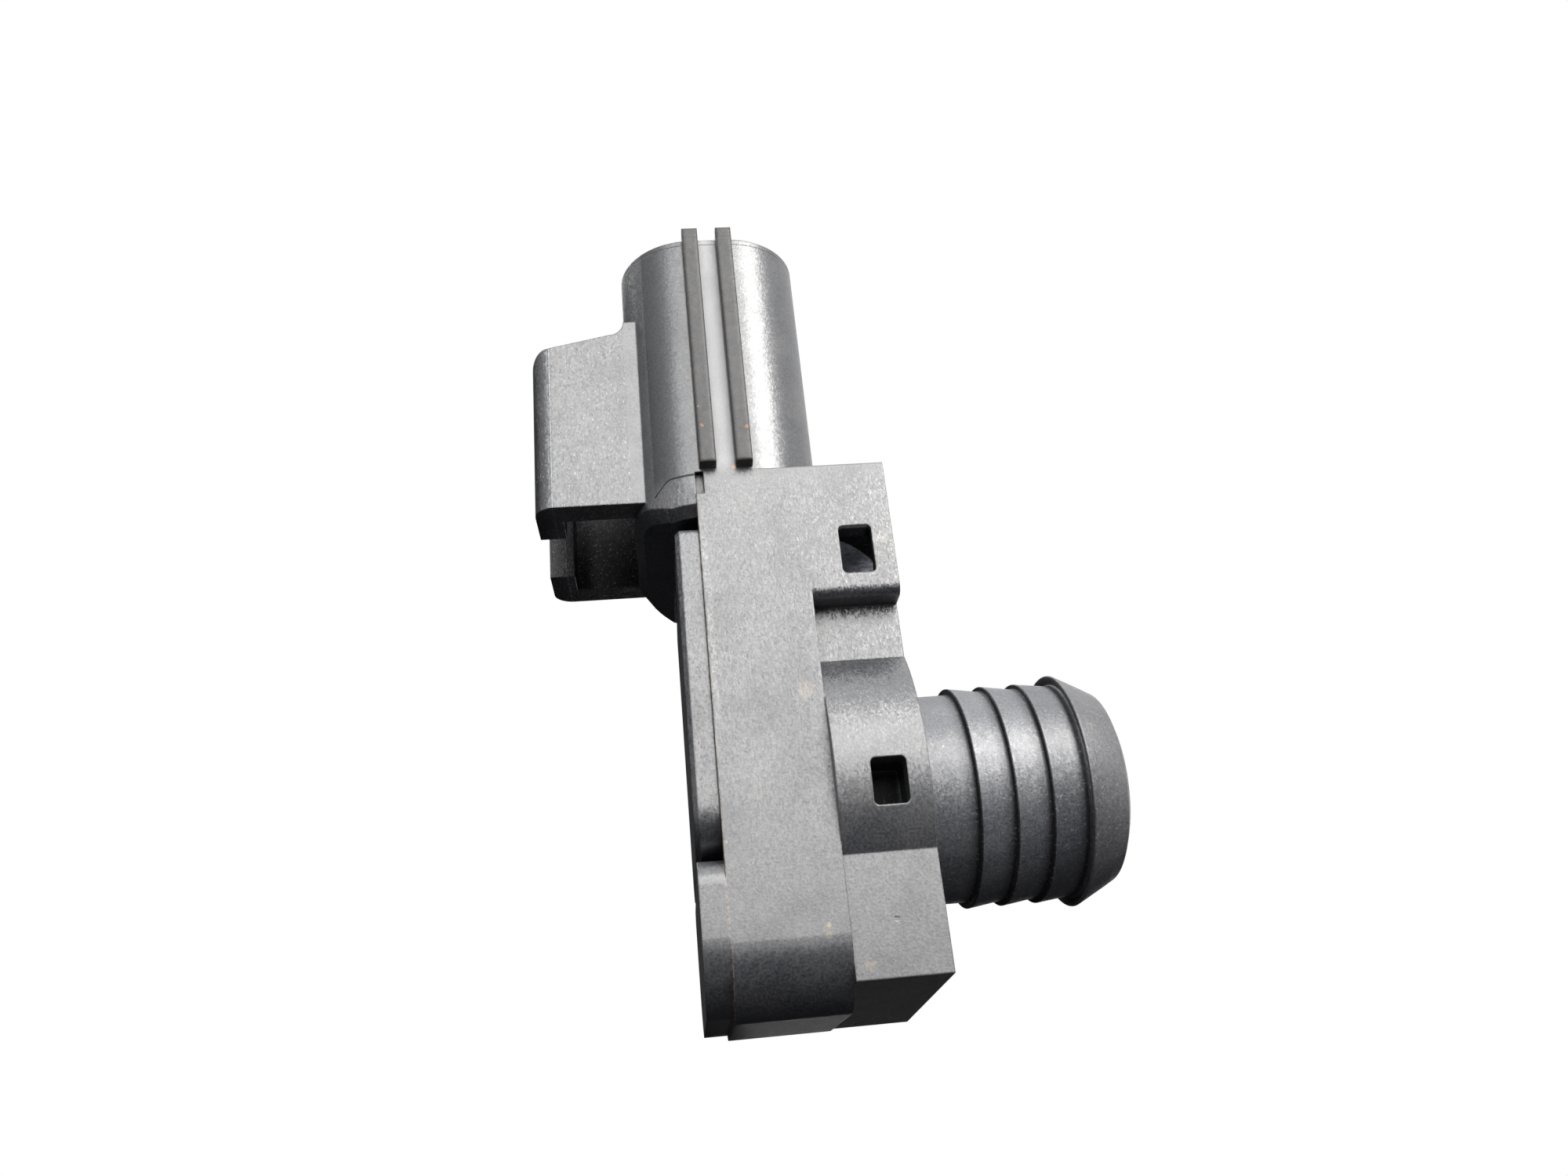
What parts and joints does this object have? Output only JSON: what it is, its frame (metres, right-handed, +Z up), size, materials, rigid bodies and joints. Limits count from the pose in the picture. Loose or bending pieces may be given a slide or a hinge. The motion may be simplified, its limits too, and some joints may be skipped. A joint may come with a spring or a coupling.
{
  "type": "brake booster pressure sensor",
  "caption": "Moulded plastic sensor with a barbed rubber port sleeve on its axis, an upright oval plug socket with a latch guard, and a snap-fit seat plane.",
  "frame": {"origin": "on the port axis, in the seat plane that lies against the booster wall", "axes": "+X out of the port along its axis, +Z up along the plug socket, +Y across the block, away from the ribbed side"},
  "size_m": [0.0499, 0.0294, 0.0719],
  "materials": {
    "housing_plastic": "fine spark-eroded grain",
    "cover_plastic": "fine spark-eroded grain",
    "sleeve_rubber": "matte, slightly dusty",
    "bead_silicone": "smooth",
    "seal_rubber": "smooth",
    "tinned_contact": "bright tin plating",
    "solder": "bright",
    "board_laminate": "solder mask",
    "chip_resin": "moulded resin",
    "capacitor_ceramic": "fired ceramic",
    "cell_ceramic": "fired ceramic",
    "silicon": "polished silicon",
    "dam_resin": "moulded",
    "clear_gel": "clear soft gel"
  },
  "bodies": {
    "root": {"housing": "housing_plastic", "rear_cover": "cover_plastic", "cover_seal": "bead_silicone", "port_sleeve": "sleeve_rubber", "supply_terminal": "tinned_contact", "signal_terminal": "tinned_contact", "ground_terminal": "tinned_contact", "solder_joints": "solder", "circuit_board": "board_laminate", "evaluation_chip": "chip_resin", "filter_capacitors": "capacitor_ceramic", "pressure_cell": "cell_ceramic", "cell_seal": "seal_rubber", "sensing_die": "silicon", "gel_dam": "dam_resin", "gel_fill": "clear_gel"}
  },
  "joints": []
}
